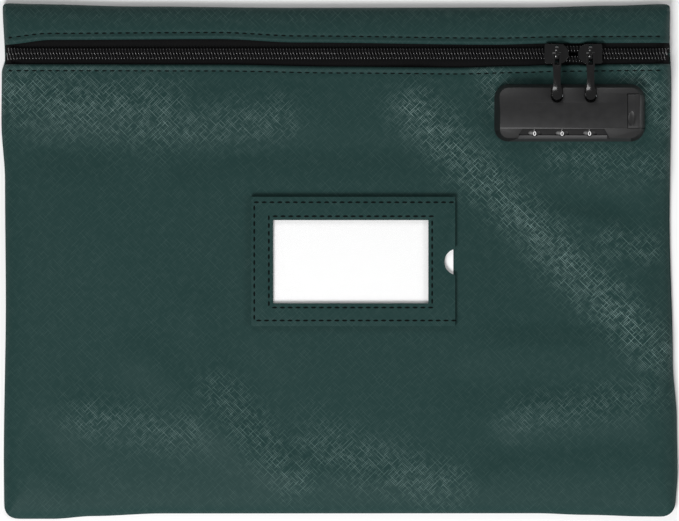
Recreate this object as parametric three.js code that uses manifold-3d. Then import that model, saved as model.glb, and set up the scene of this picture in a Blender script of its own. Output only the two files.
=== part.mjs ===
// A locking cash deposit bag: a flat zipped pouch of cross-grained leathercloth with a card window, two
// zip sliders whose pullers drop into a three-dial combination lock, and a lining.
//
// Millimetres. The bag lies on its back: +X runs along the zip, +Y from the bottom seam to the zip, and +Z
// out of the front. The origin is at the middle of the back, on the surface that the bag lies on.
import * as THREE from "three";
import { mergeVertices } from "three/addons/utils/BufferGeometryUtils.js";
import Module from "manifold-3d";

const wasm = await Module();
wasm.setup();

// ---------------------------------------------------------------- driving dimensions

const GAP = 0.3; // between pieces that touch in the real bag
const FAR = 400; // longer than anything here, for cuts that run right through

// The bag: each inset is how far a layer of the puffed front lies inside the outer surface of the leather.
const BAG = { width: 340, height: 259, corner: 5, front: 9.5, edgeRun: 12 };
const LEATHER = 1.2;
const LINING = 0.4;
const TAPE = 0.6;
const RIM = LEATHER + GAP; // height of the seam where the front meets the back
const INSET = {
  tape: LEATHER + GAP,
  lining: LEATHER + GAP + TAPE + GAP,
};

// The zip, a coil chain across the bag below the top strip.
const ZIP = {
  y: 103.5,
  lowerHem: 97.8,
  upperHem: 109.3,
  tapeWidth: 14,
  slit: 1.8, // between the two coils, where the slider's post runs
  coilWidth: 2.6,
  coilRise: 2.4,
  coilEnd: 166,
  liningSetback: 3.3, // from a hem's edge to its stitching, where the lining stops
};
const ZIP_SIDE = ZIP.slit / 2;

const SLIDER = {
  leftX: 108.8,
  rightX: 125.6,
  length: 12,
  halfWidth: 4.9,
  flange: 1,
  plate: 1.2,
  postLength: 3.4,
  postWidth: 1.2,
  arch: { width: 1.6, halfSpan: 4.4, rise: 5, thick: 1.25 },
  pivotRise: 2.6, // from the top plate to the axis of the bar by which the puller hangs in the arch
};
const TAPE_TOP = BAG.front - INSET.tape;
const COIL_TOP = TAPE_TOP + GAP + ZIP.coilRise;
const SLIDER_TOP = COIL_TOP + GAP + SLIDER.plate;
const PULLER_PIVOT = { y: ZIP.y, z: SLIDER_TOP + SLIDER.pivotRise };

const PULLER = {
  ringHalf: 2.1,
  railInner: 1.2,
  ringEnd: 5.9,
  strapHalf: 1.8,
  strapThick: 1.6,
  headStart: 17.5,
  headWidth: 5.2,
  headThick: 3,
  length: 23.9,
  pinHole: { y: 21, radius: 1.2 },
  lift: 13, // degrees from latched in the lock to resting clear above it
};

// The name card's pocket, sewn to the front panel on three sides and open on the right.
const POCKET = {
  left: -43.9,
  right: 58.2,
  bottom: -32.6,
  top: 32.1,
  window: { left: -32.9, right: 44.7, bottom: -21.2, top: 20.4 },
  sewn: 2.2, // width of the sewn edge on the left, top and bottom
  notch: { radius: 6.6, depth: 5.5, y: -0.5 },
};
const CARD = { width: 97, height: 56, thick: 0.3, right: 57.2 };
const FILM = { thick: 0.2, overlap: 4.6 };
const CARD_BOTTOM = BAG.front + GAP;
const FILM_BOTTOM = CARD_BOTTOM + CARD.thick + GAP;
const POCKET_ROOF = FILM_BOTTOM + FILM.thick + GAP;

// The lock.
const LOCK = {
  left: 77.7,
  right: 152.8,
  bottom: 59.7,
  top: 88.3,
  corner: 7,
  shoulder: { inset: 3, from: 11.5, rise: 8 }, // the lean of the side walls
  base: BAG.front + GAP,
  crestY: 72,
  crestZ: 18.9,
  faceRadius: 44,
  wall: 1.5,
  footHeight: 14.9, // of the lower edge
};
const LOCK_X = (LOCK.left + LOCK.right) / 2;
const SCOOP = { halfBottom: 25.3, halfTop: 20.4, x: 112, top: 66, topZ: 17.1, bottomZ: 13.7, wall: 1, lip: 0.5, lipTop: 62.7 };
const DIAL = {
  xs: [97.7, 111.4, 125.1],
  y: 65.2,
  z: 12.1,
  radius: 4.4,
  edgeRadius: 3.6,
  halfWidth: 3.6,
  bore: 2.4,
};
const SLEEVE = { outer: 2.1, inner: 1.5, disc: 3, discThick: 1, discAt: 5.2, gate: 1.6 };
const SHAFT = { radius: 1.2, left: 87, right: 138.4 };
const NOTCH = { halfWidth: 3, bottom: 78.9, floor: 12.9, wall: 1 };
const RELEASE = {
  left: 143.9,
  bottom: 66.1,
  top: 83.5,
  ridge: 148.4,
  step: 0.5,
  dimple: { x: 146, y: 71, halfX: 1.9, halfY: 3.9, deep: 0.7 },
};
const CHASSIS = {
  left: 87.6,
  right: 137.8,
  bottom: 61.8,
  top: 81,
  base: 6.7,
  floor: 0.8,
  cheek: 1.6,
  cheekTop: 14,
  cheekBack: 69,
};
const PLATE = { thick: 1, top: BAG.front - INSET.lining - LINING - GAP };
const SCREW = {
  xs: [82.6, 141.2],
  ys: [64.4, 83.6],
  shank: 1.1,
  head: 2.2,
  headThick: 1.1,
  boss: 2.5,
  bossTop: 14.5,
  hole: 1.5,
};
const BAR = { bottom: 13.7, top: 14.7, y: [74.6, 77.4], left: 98, tab: 1.4, pinRadius: 0.7, finger: 1 };
const SPRING = { left: 116.6, right: 122.6, y: 72.6, z: 14.2, radius: 0.95, wire: 0.2, turns: 5 };
const DETENT = { thick: 0.4, y: 70.4, bottom: 7.8, top: 12.6 };
const RESET = { x: 134, y: 79, radius: 1.2, hole: 1.6, top: 11 };

// ---------------------------------------------------------------- materials

const material = (color, roughness, metalness = 0) =>
  new THREE.MeshStandardMaterial({ color, roughness, metalness });
const LEATHERCLOTH = material(0x2d4543, 0.55);
const LINING_CLOTH = material(0x17191b, 0.85);
const WOVEN_TAPE = material(0x17171a, 0.9);
const NYLON = material(0x222224, 0.4);
const BLACK_ZINC = material(0x1b1b1c, 0.28, 0.6);
const BLACK_ABS = material(0x2c2c2d, 0.42);
const STEEL = material(0x8d9196, 0.35, 1);
const PAPER = material(0xf7f7f5, 0.9);
const CLEAR_PVC = new THREE.MeshStandardMaterial({ color: 0xffffff, roughness: 0.1, transparent: true, opacity: 0.2 });

// ---------------------------------------------------------------- shapes and solids

// A closed geometry as a solid that can be joined and cut.
function solid(geometry) {
  const bare = geometry.index ? geometry.toNonIndexed() : geometry.clone();
  bare.deleteAttribute("normal");
  bare.deleteAttribute("uv");
  const merged = mergeVertices(bare, 1e-4);
  return new wasm.Manifold(
    new wasm.Mesh({
      numProp: 3,
      vertProperties: merged.attributes.position.array,
      triVerts: new Uint32Array(merged.index.array),
    }),
  );
}

// A solid back as a geometry.
function geometryOf(made) {
  const mesh = made.getMesh();
  return new THREE.BufferGeometry()
    .setAttribute("position", new THREE.BufferAttribute(new Float32Array(mesh.vertProperties), 3))
    .setIndex(new THREE.BufferAttribute(new Uint32Array(mesh.triVerts), 1));
}

const join = (...solids) => solids.reduce((a, b) => a.add(b));
const cut = (whole, ...tools) => tools.reduce((a, b) => a.subtract(b), whole);

// A box between two corners.
function box([x0, y0, z0], [x1, y1, z1]) {
  return solid(
    new THREE.BoxGeometry(x1 - x0, y1 - y0, z1 - z0).translate((x0 + x1) / 2, (y0 + y1) / 2, (z0 + z1) / 2),
  );
}

// A round bar along Z ("z") or along X ("x"), from one end to the other.
function rod(axis, [a, b], from, to, radius, sides = 24) {
  const bar = new THREE.CylinderGeometry(radius, radius, to - from, sides);
  const middle = (from + to) / 2;
  if (axis === "x") return solid(bar.rotateZ(Math.PI / 2).translate(middle, a, b));
  return solid(bar.rotateX(Math.PI / 2).translate(a, b, middle));
}

// An outline in X and Y, extruded upwards.
function prism(shape, from, to, curveSegments = 8) {
  const extruded = new THREE.ExtrudeGeometry(shape, { depth: to - from, bevelEnabled: false, curveSegments });
  return solid(extruded.translate(0, 0, from));
}

// An outline in Y and Z, extruded along X.
function prismAlongX(shape, from, to, curveSegments = 12) {
  const extruded = new THREE.ExtrudeGeometry(shape, { depth: to - from, bevelEnabled: false, curveSegments });
  return solid(extruded.rotateY(Math.PI / 2).rotateX(Math.PI / 2).translate(from, 0, 0));
}

function polygon(points) {
  return new THREE.Shape(points.map(([x, y]) => new THREE.Vector2(x, y)));
}

function roundedRectangle(left, bottom, right, top, radius) {
  const shape = new THREE.Shape();
  shape.moveTo(left + radius, bottom);
  shape.lineTo(right - radius, bottom);
  shape.absarc(right - radius, bottom + radius, radius, -Math.PI / 2, 0);
  shape.lineTo(right, top - radius);
  shape.absarc(right - radius, top - radius, radius, 0, Math.PI / 2);
  shape.lineTo(left + radius, top);
  shape.absarc(left + radius, top - radius, radius, Math.PI / 2, Math.PI);
  shape.lineTo(left, bottom + radius);
  shape.absarc(left + radius, bottom + radius, radius, Math.PI, 1.5 * Math.PI);
  return shape;
}

const root = new THREE.Group();

function add(name, made, look, parent = root) {
  const mesh = new THREE.Mesh(made.isBufferGeometry ? made : geometryOf(made), look);
  mesh.name = name;
  parent.add(mesh);
  return mesh;
}

// ---------------------------------------------------------------- the bag

// Everything under a surface that lies inset inside the puffed front, from the seam's height up.
function pillow(inset) {
  const halfWidth = BAG.width / 2 - inset;
  const halfHeight = BAG.height / 2 - inset;
  const rise = BAG.front - inset - RIM;
  const flatX = halfWidth - BAG.edgeRun;
  const flatY = halfHeight - BAG.edgeRun;
  const flat = polygon([[-flatX, -flatY], [flatX, -flatY], [flatX, flatY], [-flatX, flatY]]);
  const puffed = new THREE.ExtrudeGeometry(flat, {
    depth: 1,
    bevelThickness: rise,
    bevelSize: BAG.edgeRun,
    bevelSegments: 5,
  });
  const outline = roundedRectangle(-halfWidth, -halfHeight, halfWidth, halfHeight, BAG.corner - inset);
  return solid(puffed.translate(0, 0, RIM - 1)).intersect(prism(outline, RIM, FAR, 4));
}

// The layer of the front between two insets, and between two heights across the bag.
function frontLayer(outer, inner, from, to) {
  const slice = box([-FAR, from, -FAR], [FAR, to, FAR]);
  return cut(pillow(outer), pillow(inner)).intersect(slice);
}

// What the lock needs out of the layers behind it: its chassis and its four screws.
function lockCutout() {
  const well = box(
    [CHASSIS.left - GAP, CHASSIS.bottom - GAP, 0],
    [CHASSIS.right + GAP, CHASSIS.top + GAP, LOCK.base],
  );
  const holes = SCREW.xs.flatMap((x) => SCREW.ys.map((y) => rod("z", [x, y], 0, LOCK.base, SCREW.hole, 12)));
  return join(well, ...holes);
}

function buildBag() {
  const { width, height, corner } = BAG;
  const outline = roundedRectangle(-width / 2, -height / 2, width / 2, height / 2, corner);
  add("back_panel", prism(outline, 0, LEATHER), LEATHERCLOTH);

  const inside = INSET.lining + LINING + GAP;
  const lining = roundedRectangle(
    inside - width / 2,
    inside - height / 2,
    width / 2 - inside,
    height / 2 - inside,
    corner - inside,
  );
  add("back_lining", prism(lining, RIM, RIM + LINING), LINING_CLOTH);

  const cutout = lockCutout();
  add("front_panel", cut(frontLayer(0, LEATHER, -FAR, ZIP.lowerHem), cutout), LEATHERCLOTH);
  add("top_strip", frontLayer(0, LEATHER, ZIP.upperHem, FAR), LEATHERCLOTH);

  const liningDepth = INSET.lining + LINING;
  const lowerEdge = ZIP.lowerHem - ZIP.liningSetback;
  const upperEdge = ZIP.upperHem + ZIP.liningSetback;
  add("front_lining", cut(frontLayer(INSET.lining, liningDepth, -FAR, lowerEdge), cutout), LINING_CLOTH);
  add("strip_lining", frontLayer(INSET.lining, liningDepth, upperEdge, FAR), LINING_CLOTH);
}

// ---------------------------------------------------------------- the zip

function buildChain() {
  const inner = INSET.tape + TAPE;
  for (const [side, sign] of [["lower", -1], ["upper", 1]]) {
    const near = ZIP.y + sign * ZIP_SIDE;
    const tapeFar = near + sign * ZIP.tapeWidth;
    const coilFar = near + sign * ZIP.coilWidth;
    const tape = frontLayer(INSET.tape, inner, Math.min(near, tapeFar), Math.max(near, tapeFar));
    add(`zipper_tape_${side}`, tape, WOVEN_TAPE);

    const coilTop = LEATHER - ZIP.coilRise;
    const ends = box([-ZIP.coilEnd, -FAR, -FAR], [ZIP.coilEnd, FAR, FAR]);
    const coil = frontLayer(coilTop, LEATHER, Math.min(near, coilFar), Math.max(near, coilFar));
    add(`zipper_coil_${side}`, coil.intersect(ends), NYLON);
  }
}

// A slider's plate seen from above, with its wide nose towards +X.
function sliderOutline() {
  const { length, halfWidth } = SLIDER;
  const shape = new THREE.Shape();
  shape.moveTo(-length / 2, -halfWidth + 0.6);
  shape.lineTo(-length / 2 + 0.6, -halfWidth);
  shape.lineTo(length / 2 - 4.5, -halfWidth);
  shape.bezierCurveTo(length / 2 - 1.5, -halfWidth, length / 2, -2.2, length / 2, 0);
  shape.bezierCurveTo(length / 2, 2.2, length / 2 - 1.5, halfWidth, length / 2 - 4.5, halfWidth);
  shape.lineTo(-length / 2 + 0.6, halfWidth);
  shape.lineTo(-length / 2, halfWidth - 0.6);
  return shape;
}

// A slider about X = 0, in the bag's own Y and Z, with its nose towards +X.
function sliderBody() {
  const { length, halfWidth, flange, plate, postLength, postWidth, arch } = SLIDER;
  const under = COIL_TOP + GAP;
  const tapeUnder = TAPE_TOP - TAPE - GAP;
  const outline = sliderOutline();
  const topPlate = prism(outline, under, under + plate, 5);
  const bottomPlate = prism(outline, tapeUnder - plate, tapeUnder, 5);
  const postEnd = length / 2 - 1.2;
  const post = box([postEnd - postLength, -postWidth / 2, tapeUnder - 0.2], [postEnd, postWidth / 2, under + 0.2]);
  const flanges = [-1, 1].map((side) => {
    const outer = side * (halfWidth - 0.1);
    const inner = side * (halfWidth - flange);
    const from = [-length / 2 + 0.8, Math.min(outer, inner), TAPE_TOP + 0.4];
    return box(from, [1, Math.max(outer, inner), under + 0.2]);
  });
  const inner = [arch.halfSpan - arch.thick, arch.rise - arch.thick];
  const foot = SLIDER_TOP - 0.3;
  const bow = new THREE.Shape();
  bow.moveTo(-arch.halfSpan, foot);
  bow.absellipse(0, SLIDER_TOP, arch.halfSpan, arch.rise, Math.PI, 0, true);
  bow.lineTo(arch.halfSpan, foot);
  bow.lineTo(inner[0], foot);
  bow.absellipse(0, SLIDER_TOP, inner[0], inner[1], 0, Math.PI, false);
  bow.lineTo(-inner[0], foot);
  const crown = prismAlongX(bow, -arch.width / 2, arch.width / 2, 10);
  return geometryOf(join(topPlate, bottomPlate, post, ...flanges, crown));
}

// A puller about its pivot, pointing along -Y as it does when it is latched.
function pullerBody() {
  const { ringHalf, railInner, ringEnd, strapHalf, strapThick, headStart, headWidth, headThick } = PULLER;
  const { length, pinHole } = PULLER;
  const bar = rod("x", [0, 0], -ringHalf, ringHalf, strapThick / 2, 16);
  const outline = polygon([
    [-ringHalf, 0],
    [-ringHalf, -ringEnd - 1],
    [-strapHalf, -ringEnd - 4],
    [-strapHalf, -headStart - 1],
    [strapHalf, -headStart - 1],
    [strapHalf, -ringEnd - 4],
    [ringHalf, -ringEnd - 1],
    [ringHalf, 0],
  ]);
  const strap = prism(outline, -strapThick / 2, strapThick / 2);
  const hole = box([-railInner, -ringEnd, -FAR], [railInner, -strapThick / 2, FAR]);
  const headHalf = headWidth / 2;
  const head = new THREE.Shape();
  head.moveTo(-headHalf + 0.8, -headStart);
  head.lineTo(-headHalf, -headStart - 1.6);
  head.lineTo(-headHalf, -length + headHalf);
  head.absarc(0, -length + headHalf, headHalf, Math.PI, 2 * Math.PI);
  head.lineTo(headHalf, -headStart - 1.6);
  head.lineTo(headHalf - 0.8, -headStart);
  const block = prism(head, -headThick / 2, headThick / 2, 8);
  const latchHole = rod("x", [-pinHole.y, 0], -FAR, FAR, pinHole.radius, 16);
  return geometryOf(cut(join(bar, cut(strap, hole), block), latchHole));
}

function buildSliders() {
  for (const [side, x, turn] of [["left", SLIDER.leftX, 0], ["right", SLIDER.rightX, Math.PI]]) {
    const place = new THREE.Group();
    place.position.set(x, ZIP.y, 0);
    root.add(place);
    add(`slider_${side}`, sliderBody(), BLACK_ZINC, place).rotation.z = turn;

    const hung = new THREE.Group();
    hung.position.set(0, 0, PULLER_PIVOT.z);
    hung.rotation.x = -THREE.MathUtils.degToRad(PULLER.lift);
    place.add(hung);
    add(`puller_${side}`, pullerBody(), BLACK_ZINC, hung);
  }
}

// ---------------------------------------------------------------- the card pocket

function buildPocket() {
  const { left, right, bottom, top, window, sewn, notch } = POCKET;
  const slab = box([left, bottom, BAG.front + GAP], [right, top, POCKET_ROOF + LEATHER]);
  const inside = box([left + sewn, bottom + sewn, 0], [FAR, top - sewn, POCKET_ROOF]);
  const opening = box([window.left, window.bottom, 0], [window.right, window.top, FAR]);
  const thumb = rod("z", [right - notch.depth + notch.radius, notch.y], 0, FAR, notch.radius, 32);
  add("card_frame", cut(slab, inside, opening, thumb), LEATHERCLOTH);

  const { overlap, thick } = FILM;
  const film = box(
    [window.left - overlap, window.bottom - overlap, FILM_BOTTOM],
    [window.right + overlap, window.top + overlap, FILM_BOTTOM + thick],
  );
  add("window_film", film, CLEAR_PVC);

  const middle = (bottom + top) / 2;
  const card = box(
    [CARD.right - CARD.width, middle - CARD.height / 2, CARD_BOTTOM],
    [CARD.right, middle + CARD.height / 2, CARD_BOTTOM + CARD.thick],
  );
  add("name_card", card, PAPER);
}

// ---------------------------------------------------------------- the lock's case

// The lock's outer form, or the same form a wall's thickness further in.
function lockForm(inset) {
  const { left, right, bottom, top, corner, shoulder, base, crestY, crestZ, faceRadius, footHeight } = LOCK;
  const low = base - (inset ? 1 : 0);
  const edge = shoulder.inset + inset;
  const leaning = new THREE.ExtrudeGeometry(
    roundedRectangle(left + edge, bottom + edge, right - edge, top - edge, Math.max(0.8, corner - edge)),
    {
      depth: shoulder.from - low,
      bevelSize: shoulder.inset,
      bevelThickness: shoulder.rise,
      bevelSegments: 1,
      curveSegments: 6,
    },
  );
  const above = box([-FAR, -FAR, low], [FAR, FAR, FAR]);
  const plan = solid(leaning.translate(0, 0, low)).intersect(above);
  const face = new THREE.Shape();
  const faceStart = Math.asin((SCOOP.top - crestY) / faceRadius);
  const faceEnd = Math.asin((top + 1 - crestY) / faceRadius);
  face.moveTo(top + 1, low - 1);
  face.lineTo(bottom - 1, low - 1);
  face.lineTo(bottom - 1, footHeight - 0.6 - 1.1 * inset);
  face.absarc(crestY, crestZ - faceRadius, faceRadius - inset, Math.PI / 2 - faceStart, Math.PI / 2 - faceEnd, true);
  const domed = prismAlongX(face, left - 1, right + 1);
  return plan.intersect(domed);
}

// The scoop along the lock's lower bevel that the dials look out of, grown by a wall's thickness if asked.
function scoop(grown) {
  const { halfBottom, halfTop, x, top, topZ, bottomZ } = SCOOP;
  const outer = LOCK.bottom - 2;
  const fall = (topZ - bottomZ) / (top - LOCK.bottom);
  const drop = 1.13 * grown;
  const back = top + 0.8 * grown;
  const floor = polygon([
    [outer, bottomZ - 2 * fall - drop],
    [back, topZ + (back - top) * fall - drop],
    [back, FAR],
    [outer, FAR],
  ]);
  const plan = polygon([
    [x - halfBottom - grown, outer],
    [x + halfBottom + grown, outer],
    [x + halfTop + grown, back],
    [x - halfTop - grown, back],
  ]);
  return prismAlongX(floor, LOCK.left, LOCK.right).intersect(prism(plan, 0, FAR));
}

function releaseBay(gap) {
  return box([RELEASE.left + gap, RELEASE.bottom + gap, 0], [FAR, RELEASE.top - gap, FAR]);
}

// A notch in the lock's upper edge for one puller's head.
function pullerNotch(x) {
  const { halfWidth, bottom, floor } = NOTCH;
  const shape = new THREE.Shape();
  shape.moveTo(x - halfWidth, FAR);
  shape.lineTo(x - halfWidth, bottom + halfWidth);
  shape.absarc(x, bottom + halfWidth, halfWidth, Math.PI, 2 * Math.PI);
  shape.lineTo(x + halfWidth, FAR);
  return prism(shape, floor, FAR, 8);
}

// The walls that a puller's head drops between, and the hole in one of them for its latch pin.
function pullerSocket(x) {
  const { halfWidth, bottom, floor, wall } = NOTCH;
  const half = halfWidth + wall;
  return box([x - half, bottom - wall, floor - wall], [x + half, LOCK.top, LOCK.crestZ]);
}

function latchHole(x) {
  const at = [ZIP.y - PULLER.pinHole.y, PULLER_PIVOT.z];
  return rod("x", at, x, x + NOTCH.halfWidth + NOTCH.wall + 0.5, BAR.pinRadius + GAP, 12);
}

function buildCase() {
  const pullers = [SLIDER.leftX, SLIDER.rightX];
  const places = SCREW.xs.flatMap((x) => SCREW.ys.map((y) => [x, y]));
  const bosses = places.map((at) => rod("z", at, LOCK.base, LOCK.crestZ, SCREW.boss, 16));
  const bores = places.map((at) => rod("z", at, 0, SCREW.bossTop - 1.2, SCREW.shank + GAP, 12));
  const hollow = cut(lockForm(LOCK.wall), scoop(SCOOP.wall), ...bosses, ...pullers.map(pullerSocket));
  const { x, halfBottom, lip, lipTop } = SCOOP;
  const lipSpan = box([x - halfBottom + 2, 0, LOCK.base], [x + halfBottom - 3.4, lipTop, FAR]);
  const lippedScoop = cut(scoop(0), cut(lipSpan, scoop(-lip)));
  const windows = DIAL.xs.map((at) => solid(turnedOnShaft(wheelSection(GAP), at, 30)));
  const discRoom = rod("x", [DIAL.y, DIAL.z], DIAL.xs[0], DIAL.xs[2] + 7, SLEEVE.disc + GAP, 24);
  const cover = cut(
    lockForm(0),
    hollow,
    lippedScoop,
    releaseBay(0),
    discRoom,
    ...pullers.map(pullerNotch),
    ...pullers.map(latchHole),
    ...windows,
    ...bores,
  );
  add("lock_cover", cover, BLACK_ABS);

  const { left, right, bottom, top, floor, base, cheek, cheekTop, cheekBack } = CHASSIS;
  const tray = box([left, bottom, base], [right, top, base + floor]);
  const cheeks = [left, right - cheek].map((x) => box([x, bottom + 0.8, base], [x + cheek, cheekBack, cheekTop]));
  const rail = box([BAR.left - 1, BAR.y[0], base], [right, BAR.y[1], BAR.bottom - GAP]);
  const stop = [SPRING.right + GAP, SPRING.y - 1.2];
  const springStop = box([stop[0], stop[1], base], [stop[0] + 1.2, BAR.y[0] - GAP, BAR.top]);
  const stopFoot = box([stop[0], stop[1], base], [stop[0] + 1.2, BAR.y[1], BAR.bottom - GAP]);
  const shaftHole = rod("x", [DIAL.y, DIAL.z], 0, FAR, SHAFT.radius + GAP, 20);
  const wheelRoom = rod("x", [DIAL.y, DIAL.z], left + 3, right - 3, DIAL.radius + GAP, 30);
  const resetHole = rod("z", [RESET.x, RESET.y], 0, FAR, RESET.hole, 16);
  const chassis = join(tray, ...cheeks, rail, springStop, stopFoot);
  add("lock_chassis", cut(chassis, shaftHole, wheelRoom, resetHole), BLACK_ABS);

  const plateOutline = roundedRectangle(LOCK.left, LOCK.bottom, LOCK.right, LOCK.top, LOCK.corner);
  const plate = prism(plateOutline, PLATE.top - PLATE.thick, PLATE.top, 5);
  const plateHoles = places.map((at) => rod("z", at, 0, FAR, SCREW.hole, 12));
  add("backing_plate", cut(plate, ...plateHoles, resetHole), STEEL);

  places.forEach((at, i) => {
    const underPlate = PLATE.top - PLATE.thick - GAP;
    const head = rod("z", at, underPlate - SCREW.headThick, underPlate, SCREW.head, 16);
    const shank = rod("z", at, underPlate - 0.1, SCREW.bossTop - 1.5, SCREW.shank, 12);
    add(`lock_screw_${i + 1}`, join(head, shank), STEEL);
  });
}

// ---------------------------------------------------------------- the lock's works

// A turned piece from half of its section, about the dials' axis, in the middle of the given X.
function turnedOnShaft(profile, x, segments) {
  const points = profile.map(([radius, along]) => new THREE.Vector2(radius, along));
  points.push(points[0].clone());
  const lathe = new THREE.LatheGeometry(points, segments);
  return lathe.rotateZ(-Math.PI / 2).translate(x, DIAL.y, DIAL.z);
}

// Half the section of a crowned dial, or of the room that it turns in, which is grown by a gap.
function wheelSection(grown) {
  const { radius, edgeRadius, bore } = DIAL;
  const half = DIAL.halfWidth + grown;
  return [
    [bore, -half],
    [edgeRadius + grown, -half],
    [radius - 0.2 + grown, -half * 0.5],
    [radius + grown, 0],
    [radius - 0.2 + grown, half * 0.5],
    [edgeRadius + grown, half],
    [bore, half],
  ];
}

function buildDials() {
  const { xs, halfWidth } = DIAL;
  xs.forEach((x, i) => {
    add(`dial_${i + 1}`, turnedOnShaft(wheelSection(0), x, 30), BLACK_ABS);

    const { outer, inner, disc, discThick, discAt, gate } = SLEEVE;
    const sleeve = [
      [inner, -halfWidth],
      [outer, -halfWidth],
      [outer, discAt],
      [disc, discAt],
      [disc, discAt + discThick],
      [inner, discAt + discThick],
    ];
    const slot = box(
      [x + discAt - 0.5, DIAL.y + outer + 0.1, DIAL.z - gate / 2],
      [x + discAt + 2, DIAL.y + disc + 1, DIAL.z + gate / 2],
    );
    add(`dial_sleeve_${i + 1}`, cut(solid(turnedOnShaft(sleeve, x, 20)), slot), STEEL);
  });
  add("dial_shaft", rod("x", [DIAL.y, DIAL.z], SHAFT.left, SHAFT.right, SHAFT.radius, 16), STEEL);

  const { thick, y, bottom, top } = DETENT;
  const strip = box([xs[0] - 6, y, bottom], [xs[2] + 6, y + thick, bottom + 1.2]);
  const fingers = xs.map((x) => box([x - 1, y, bottom], [x + 1, y + thick, top]));
  add("detent_spring", join(strip, ...fingers), STEEL);
}

function buildLatch() {
  const { ridge, step, dimple } = RELEASE;
  const bay = releaseBay(GAP);
  const wrap = lockForm(0).intersect(bay).intersect(box([ridge, 0, 0], [FAR, FAR, FAR]));
  const face = lockForm(step).intersect(bay).intersect(box([0, 0, LOCK.base], [ridge + 1, FAR, FAR]));
  const thumb = new THREE.SphereGeometry(1, 20, 14).scale(dimple.halfX, dimple.halfY, dimple.deep);
  const dent = solid(thumb.translate(dimple.x, dimple.y, LOCK.crestZ - step));
  const hollow = box([0, RELEASE.bottom + 2, 0], [LOCK.right - 2.4, RELEASE.top - 2, LOCK.base + 3.6]);
  add("release_slide", cut(join(wrap, face), hollow, dent), BLACK_ABS);

  const { bottom, top, y, left, tab, pinRadius, finger } = BAR;
  const strip = box([left, y[0], bottom], [RELEASE.left, y[1], top]);
  const holeY = ZIP.y - PULLER.pinHole.y;
  const pins = [SLIDER.leftX, SLIDER.rightX].flatMap((x) => {
    const tabX = x + NOTCH.halfWidth + NOTCH.wall + GAP;
    return [
      box([tabX, y[1] - 0.5, bottom], [tabX + tab, holeY + 0.9, top + 0.8]),
      rod("x", [holeY, PULLER_PIVOT.z], x, tabX + 0.5, pinRadius, 12),
    ];
  });
  const fingers = DIAL.xs.map((x) => {
    const at = x + SLEEVE.discAt - GAP - finger;
    const reach = DIAL.y + SLEEVE.outer + GAP;
    const tooth = box([at, reach, DIAL.z - 0.5], [at + finger, y[0] - GAP, DIAL.z + 0.5]);
    const arm = box([at, y[0] - 1.3, DIAL.z - 0.5], [at + finger, y[0] - GAP, top]);
    const root = box([at, y[0] - 1.3, bottom], [at + finger, y[0] + 0.5, top]);
    return join(tooth, arm, root);
  });
  const lugEnd = SPRING.left - GAP;
  const springLug = box([lugEnd - 1.2, SPRING.y - 1.2, bottom], [lugEnd, y[0] + 0.5, top]);
  add("latch_bar", join(strip, ...pins, ...fingers, springLug), STEEL);

  class Helix extends THREE.Curve {
    getPoint(t) {
      const turn = 2 * Math.PI * SPRING.turns * t;
      const along = SPRING.left + SPRING.wire + (SPRING.right - SPRING.left - 2 * SPRING.wire) * t;
      return new THREE.Vector3(
        along,
        SPRING.y + SPRING.radius * Math.cos(turn),
        SPRING.z + SPRING.radius * Math.sin(turn),
      );
    }
  }
  const wire = new THREE.Shape().absarc(0, 0, SPRING.wire, 0, 2 * Math.PI);
  const steps = SPRING.turns * 12;
  const spring = new THREE.ExtrudeGeometry(wire, { steps, extrudePath: new Helix(), curveSegments: 6, bevelEnabled: false });
  add("latch_spring", solid(spring), STEEL);

  add("reset_pin", rod("z", [RESET.x, RESET.y], PLATE.top - PLATE.thick - 0.4, RESET.top, RESET.radius, 16), STEEL);
}

buildBag();
buildChain();
buildSliders();
buildPocket();
buildCase();
buildDials();
buildLatch();

export default root;
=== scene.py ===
"""Looks for a locking cash deposit bag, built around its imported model. Metres, in the model's own frame."""

import math

import bmesh
import bpy
from mathutils import Matrix, Vector


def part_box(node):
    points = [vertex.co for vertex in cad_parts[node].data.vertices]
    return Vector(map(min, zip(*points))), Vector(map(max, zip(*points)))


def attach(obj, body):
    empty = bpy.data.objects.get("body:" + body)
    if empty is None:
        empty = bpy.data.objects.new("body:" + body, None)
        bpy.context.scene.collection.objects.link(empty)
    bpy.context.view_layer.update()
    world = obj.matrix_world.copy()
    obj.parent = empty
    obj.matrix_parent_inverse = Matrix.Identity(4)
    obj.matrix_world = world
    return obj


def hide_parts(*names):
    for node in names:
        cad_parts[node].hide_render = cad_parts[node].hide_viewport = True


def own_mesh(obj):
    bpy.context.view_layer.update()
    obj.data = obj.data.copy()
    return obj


bl_info = {
    "name": "Cash Deposit Bag",
    "version": (1, 0, 0),
    "blender": (4, 5, 0),
    "location": "View3D > Sidebar > Deposit Bag",
    "description": "Builds a zipped deposit bag of leathercloth with a card window and a combination lock",
    "category": "Add Mesh",
}

MM = 0.001
BAG = "bag"

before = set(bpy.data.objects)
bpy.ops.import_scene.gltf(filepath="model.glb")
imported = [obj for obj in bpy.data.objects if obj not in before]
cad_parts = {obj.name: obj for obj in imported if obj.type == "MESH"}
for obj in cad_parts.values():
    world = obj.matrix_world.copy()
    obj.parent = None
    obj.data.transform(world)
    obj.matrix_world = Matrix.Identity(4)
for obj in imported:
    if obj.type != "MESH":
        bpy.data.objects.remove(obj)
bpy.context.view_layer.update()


def middle(node):
    low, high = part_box(node)
    return (Vector(low) + Vector(high)) / 2


FRONT_LOW, FRONT_HIGH = (Vector(c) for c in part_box("front_panel"))
BACK_TOP = Vector(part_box("back_panel")[1]).z
LOCK_BOTTOM = Vector(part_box("lock_cover")[0]).y
POCKET_LOW, POCKET_HIGH = (Vector(c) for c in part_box("card_frame"))
ZIP_Y = middle("slider_left").y
TOP_Z = FRONT_HIGH.z
RIM_Z = FRONT_LOW.z
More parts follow.
